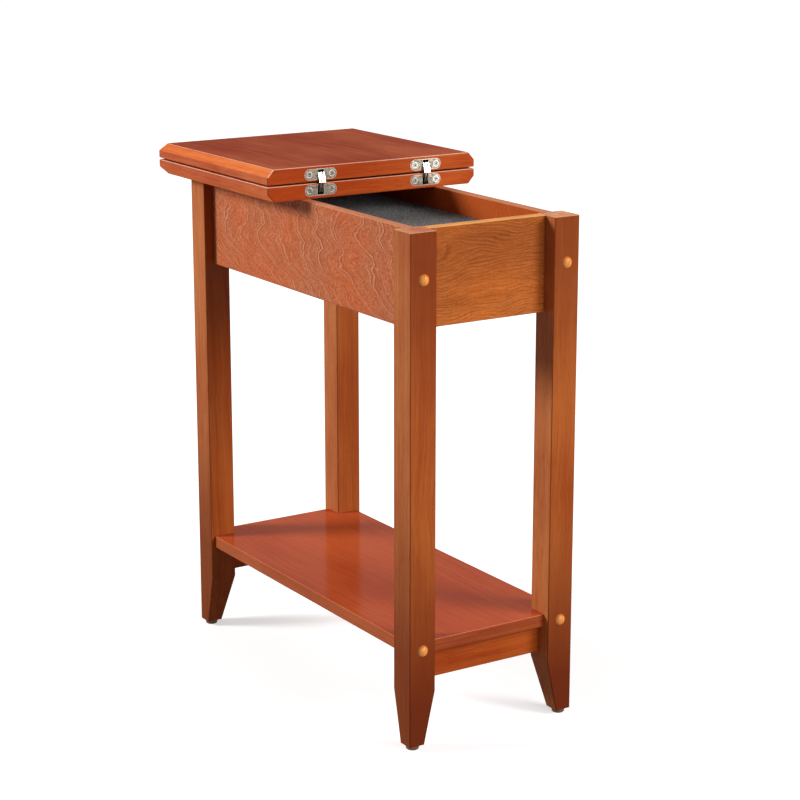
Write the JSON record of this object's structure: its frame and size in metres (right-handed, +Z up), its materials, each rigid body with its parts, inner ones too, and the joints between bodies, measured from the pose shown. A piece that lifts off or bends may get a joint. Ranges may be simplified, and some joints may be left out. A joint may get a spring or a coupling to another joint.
{
  "type": "flip-top end table",
  "caption": "Narrow chairside table: a storage box on square tapered legs with a lower shelf, and a split top whose front leaf folds back on concealed hinges.",
  "frame": {"origin": "on the floor under the middle of the table's box as it stands folded open", "axes": "+Z up, +X to the right of someone facing the box's open front end, +Y to the back, where the leaves lie folded"},
  "size_m": [0.286, 0.5348, 0.63],
  "materials": {
    "stained_leg": "satin cherry stain under lacquer",
    "stained_board": "semi-gloss cherry stain under lacquer",
    "veneered_apron": "satin cherry veneer with wavy figure",
    "plug_wood": "glossy honey lacquer",
    "plain_wood": "raw",
    "box_lining": "dark flock",
    "hinge_metal": "satin nickel",
    "screw_metal": "zinc plated",
    "glide_plastic": "dark brown"
  },
  "bodies": {
    "table": {"apron_bolt_plugs": "plug_wood", "apron_bolts": "screw_metal", "apron_dowels": "plain_wood", "box_floor": "plain_wood", "box_liner": "box_lining", "fixed_leaf": "stained_board", "foot_glide_front_left": "glide_plastic", "foot_glide_front_right": "glide_plastic", "foot_glide_rear_left": "glide_plastic", "foot_glide_rear_right": "glide_plastic", "front_apron": "veneered_apron", "hinge_fixed_cup_left": "hinge_metal", "hinge_fixed_cup_right": "hinge_metal", "hinge_fixed_pin_left": "hinge_metal", "hinge_fixed_pin_right": "hinge_metal", "hinge_fixed_screws_left": "screw_metal", "hinge_fixed_screws_right": "screw_metal", "leaf_dowels": "plain_wood", "leg_front_left": "stained_leg", "leg_front_right": "stained_leg", "leg_rear_left": "stained_leg", "leg_rear_right": "stained_leg", "rail_dowels": "plain_wood", "rear_apron": "veneered_apron", "shelf": "stained_board", "shelf_bolt_plugs": "plug_wood", "shelf_bolts": "screw_metal", "shelf_rail_front": "stained_leg", "shelf_rail_rear": "stained_leg", "side_apron_left": "veneered_apron", "side_apron_right": "veneered_apron"},
    "folding_leaf": {"flip_leaf": "stained_board", "hinge_flip_cup_left": "hinge_metal", "hinge_flip_cup_right": "hinge_metal", "hinge_flip_pin_left": "hinge_metal", "hinge_flip_pin_right": "hinge_metal", "hinge_flip_screws_left": "screw_metal", "hinge_flip_screws_right": "screw_metal"},
    "left_lower_links": {"hinge_centre_pin_left": "hinge_metal", "hinge_lower_links_left": "hinge_metal"},
    "left_upper_links": {"hinge_upper_links_left": "hinge_metal"},
    "right_lower_links": {"hinge_centre_pin_right": "hinge_metal", "hinge_lower_links_right": "hinge_metal"},
    "right_upper_links": {"hinge_upper_links_right": "hinge_metal"}
  },
  "joints": [
    {"name": "leaf_flip", "type": "hinge", "parent": "table", "child": "folding_leaf", "pos_m": [0, -0.01038, 0.611], "axis": [1, 0, 0], "range_deg": [0, 180]},
    {"name": "left_lower_link_swing", "type": "hinge", "parent": "table", "child": "left_lower_links", "pos_m": [-0.0725, -0.00737, 0.6056], "axis": [1, 0, 0], "range_deg": [0, 110.22]},
    {"name": "left_upper_link_swing", "type": "hinge", "parent": "folding_leaf", "child": "left_upper_links", "pos_m": [-0.0725, -0.00737, 0.6164], "axis": [-1, 0, 0], "range_deg": [0, 110.22]},
    {"name": "right_lower_link_swing", "type": "hinge", "parent": "table", "child": "right_lower_links", "pos_m": [0.0725, -0.00737, 0.6056], "axis": [1, 0, 0], "range_deg": [0, 110.22]},
    {"name": "right_upper_link_swing", "type": "hinge", "parent": "folding_leaf", "child": "right_upper_links", "pos_m": [0.0725, -0.00737, 0.6164], "axis": [-1, 0, 0], "range_deg": [0, 110.22]}
  ],
  "couplings": [
    {"joint": "left_lower_link_swing", "follows": "leaf_flip", "ratio": 0.61206},
    {"joint": "left_upper_link_swing", "follows": "leaf_flip", "ratio": 0.61206},
    {"joint": "right_lower_link_swing", "follows": "leaf_flip", "ratio": 0.61206},
    {"joint": "right_upper_link_swing", "follows": "leaf_flip", "ratio": 0.61206}
  ]
}
